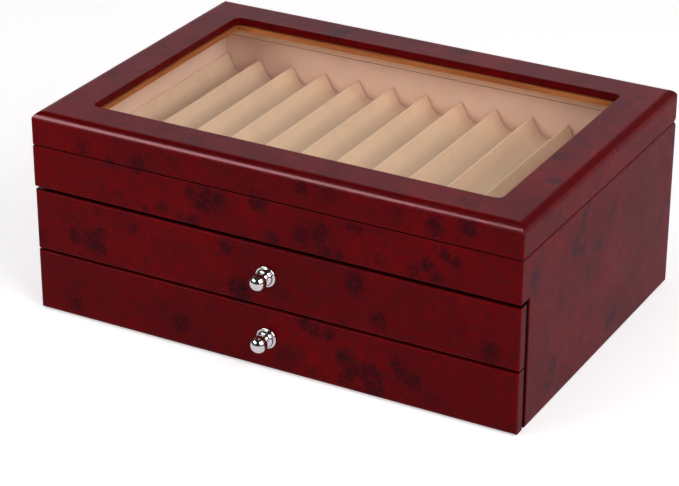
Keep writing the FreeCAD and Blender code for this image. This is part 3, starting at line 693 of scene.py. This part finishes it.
def pen_tray(name, node, body, centred):
    """Foam tray covered in suede: its ridges are soft, a little uneven and rolled over at the ends."""
    low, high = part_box(node)
    section = tray_section(low.x, high.x, centred)
    mesh = bmesh.new()
    rows = []
    for y, dip in tray_stations(low.y, high.y):
        row = []
        for i, (x, drop) in enumerate(section):
            down = drop / PEN_GROOVE_DEPTH
            inside = 1.0 if 0 < i < len(section) - 1 else 0.0
            place = (x, y, high.z)
            sway = uneven(place, *RIDGE_SWAY) * inside * (1 - down)
            sag = (RIDGE_SAG[0] + uneven(place, *RIDGE_SAG)) / 2 * (1 - down)
            swell = uneven(place, *TROUGH_SWELL) * down
            row.append(mesh.verts.new((x + sway, y, high.z - drop - sag - dip + swell)))
        rows.append(row)
    for a, b in zip(rows, rows[1:]):
        for i in range(len(section) - 1):
            mesh.faces.new((a[i], a[i + 1], b[i + 1], b[i]))
    left_foot = [mesh.verts.new((low.x, row[0].co.y, low.z)) for row in rows]
    right_foot = [mesh.verts.new((high.x, row[0].co.y, low.z)) for row in rows]
    for j in range(len(rows) - 1):
        mesh.faces.new((rows[j][0], rows[j + 1][0], left_foot[j + 1], left_foot[j]))
        mesh.faces.new((rows[j + 1][-1], rows[j][-1], right_foot[j], right_foot[j + 1]))
    end_feet = []
    for j, flip in ((0, False), (-1, True)):
        feet = [mesh.verts.new((v.co.x, v.co.y, low.z)) for v in rows[j][1:-1]]
        feet = [left_foot[j], *feet, right_foot[j]]
        for i in range(len(section) - 1):
            corners = (rows[j][i], feet[i], feet[i + 1], rows[j][i + 1])
            mesh.faces.new(reversed(corners) if flip else corners)
        end_feet.append(feet)
    front_feet, back_feet = end_feet
    base = [*front_feet, *right_foot[1:-1], *reversed(back_feet), *reversed(left_foot[1:-1])]
    mesh.faces.new(base[::-1])
    bmesh.ops.recalc_face_normals(mesh, faces=mesh.faces[:])
    bmesh.ops.triangulate(mesh, faces=[f for f in mesh.faces if len(f.verts) > 4])
    material = suede(f"{name}_suede", TRAY_LIGHT, TRAY_DARK, tray=(high.y, high.z))
    piece = new_piece(name, finished_mesh(name, mesh, TRAY_SHARP), material, body)
    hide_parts(node)


def block_mesh(low, high):
    mesh = bmesh.new()
    bmesh.ops.create_cube(mesh, size=1.0)
    size, middle = high - low, (low + high) / 2
    for vert in mesh.verts:
        vert.co = Vector([middle[i] + vert.co[i] * size[i] for i in range(3)])
    return mesh


def node_mesh(node, raised=0.0, lowered=0.0):
    """The node's shape, welded, with its top edge raised or its foot lowered a little."""
    mesh = bmesh.new()
    mesh.from_mesh(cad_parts[node].data)
    low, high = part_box(node)
    for vert in mesh.verts:
        if vert.co.z > high.z - RIM_BAND:
            vert.co.z += raised
        elif vert.co.z < low.z + RIM_BAND:
            vert.co.z -= lowered
    bmesh.ops.remove_doubles(mesh, verts=mesh.verts[:], dist=WELD)
    bmesh.ops.dissolve_limit(mesh, angle_limit=math.radians(1), verts=mesh.verts[:], edges=mesh.edges[:])
    return mesh


def covered_board(name, mesh, node, body, material, ease):
    """Thin board wrapped in cloth, with rounded edges, that stands for a node or for one board of it."""
    sharp = [e for e in mesh.edges if len(e.link_faces) == 2 and e.calc_face_angle() > EASED_FROM]
    bmesh.ops.bevel(
        mesh, geom=sharp, offset=ease, segments=EASE_STEPS, profile=0.5, affect="EDGES", clamp_overlap=True
    )
    piece = new_piece(name, finished_mesh(name, mesh, BOARD_SHARP), material, body)
    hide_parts(node)
    return piece


linings = {
    "case": suede("lining_suede", LINING_LIGHT, LINING_DARK),
    # painted light: a lighter copy of the lining cloth for the lid
    "lid": suede("lid_lining_suede", LID_LINING_BRIGHTENED_LIGHT, LID_LINING_BRIGHTENED_DARK),
}
felt = suede("base_felt_cloth", FELT_LIGHT, FELT_DARK, fibre=FELT_FIBRE)

pen_tray("top_tray_cloth", "top_pen_tray", "case", centred=False)
for level in LEVELS:
    pen_tray(f"{level}_drawer_tray_cloth", f"drawer_{level}_pen_tray", f"drawer_{level}", centred=True)

for body in ("case", "lid"):
    for side in SIDES:
        node = f"{body}_lining_{side}"
        low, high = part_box(node)
        # a case lining's top is raised, and a lid lining's foot lowered, by the nap's reach
        raised, lowered = (LINING_REACH, 0.0) if body == "case" else (0.0, LINING_REACH)
        board = node_mesh(node, raised, lowered)
        piece = covered_board(f"{node}_cloth", board, node, body, linings[body], LINING_EASE)
for level in LEVELS:
    node = f"drawer_{level}_lining"
    low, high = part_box(node)
    y0, y1 = low.y + LINING_THICKNESS, high.y - LINING_THICKNESS
    boards = {
        "front": (low, Vector((high.x, y0, high.z))),
        "back": (Vector((low.x, y1, low.z)), high),
        "left": (Vector((low.x, y0, low.z)), Vector((low.x + LINING_THICKNESS, y1, high.z))),
        "right": (Vector((high.x - LINING_THICKNESS, y0, low.z)), Vector((high.x, y1, high.z))),
    }
    for side, (start, end) in boards.items():
        name, body = f"{node}_{side}_cloth", f"drawer_{level}"
        piece = covered_board(name, block_mesh(start, end), node, body, linings["case"], LINING_EASE)
low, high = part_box("base_felt")
pad = covered_board(
    "base_felt_cloth", node_mesh("base_felt"), "base_felt", "case", felt, FELT_EASE
)

# ------------------------------------------------------------------ stage

scene = bpy.context.scene
scene.view_settings.view_transform = "Standard"


def plain_plane(name, corners, material):
    mesh = bpy.data.meshes.new(name)
    mesh.from_pydata(corners, [], [(0, 1, 2, 3)])
    made = new_object(name, mesh)
    made.data.materials.append(material)
    return made


half = FLOOR_SIZE / 2
corners = [(-half, -half, 0), (half, -half, 0), (half, half, 0), (-half, half, 0)]
floor = plain_plane("floor", corners, pale_surface("floor_white", *FLOOR_MIRRORED))

# a plain white card behind, that the lid's top and its round edge reflect, and that the camera doesn't see
(x0, z0), (x1, z1) = CARD_LOW, CARD_HIGH
corners = [(x0, CARD_Y, z0), (x1, CARD_Y, z0), (x1, CARD_Y, z1), (x0, CARD_Y, z1)]
card = plain_plane("card", corners, pale_surface("card_white", *CARD_MIRRORED))
card.visible_camera = False

world = bpy.data.worlds.new("studio")
scene.world = world
world.use_nodes = True
sky = world.node_tree.nodes["Background"]
sky.inputs["Color"].default_value = colour(1, 1, 1)
sky.inputs["Strength"].default_value = DOME_LEVEL


def softbox(name, direction, distance, size, radiance):
    """Rectangular lamp that faces the target from a direction, at a set brightness of its face."""
    lamp = bpy.data.lights.new(name, "AREA")
    lamp.shape = "RECTANGLE"
    lamp.size, lamp.size_y = size
    lamp.energy = radiance * math.pi * size[0] * size[1]
    holder = new_object(name, lamp)
    away = Vector(direction).normalized()
    holder.location = LAMP_TARGET + away * distance
    holder.rotation_euler = away.to_track_quat("Z", "Y").to_euler()
    return holder


softbox("key_softbox", *KEY_LAMP)
softbox("side_softbox", *SIDE_LAMP)
overhead = softbox("overhead_softbox", *OVERHEAD_LAMP)
overhead.visible_glossy = False  # light only: the metal and the lacquer reflect the other two

lens = bpy.data.cameras.new("camera")
lens.lens = CAMERA_LENS
lens.sensor_width = CAMERA_SENSOR
camera = new_object("camera", lens)
back = Vector((
    math.sin(CAMERA_AZIMUTH) * math.cos(CAMERA_ELEVATION),
    -math.cos(CAMERA_AZIMUTH) * math.cos(CAMERA_ELEVATION),
    math.sin(CAMERA_ELEVATION),
))
right = Vector((math.cos(CAMERA_AZIMUTH), math.sin(CAMERA_AZIMUTH), 0.0))
upward = back.cross(right)
turned_right = right * math.cos(CAMERA_ROLL) + upward * math.sin(CAMERA_ROLL)
turned_up = upward * math.cos(CAMERA_ROLL) - right * math.sin(CAMERA_ROLL)
facing = Matrix((turned_right, turned_up, back)).transposed().to_4x4()
camera.matrix_world = Matrix.Translation(CAMERA_PLACE) @ facing
scene.camera = camera
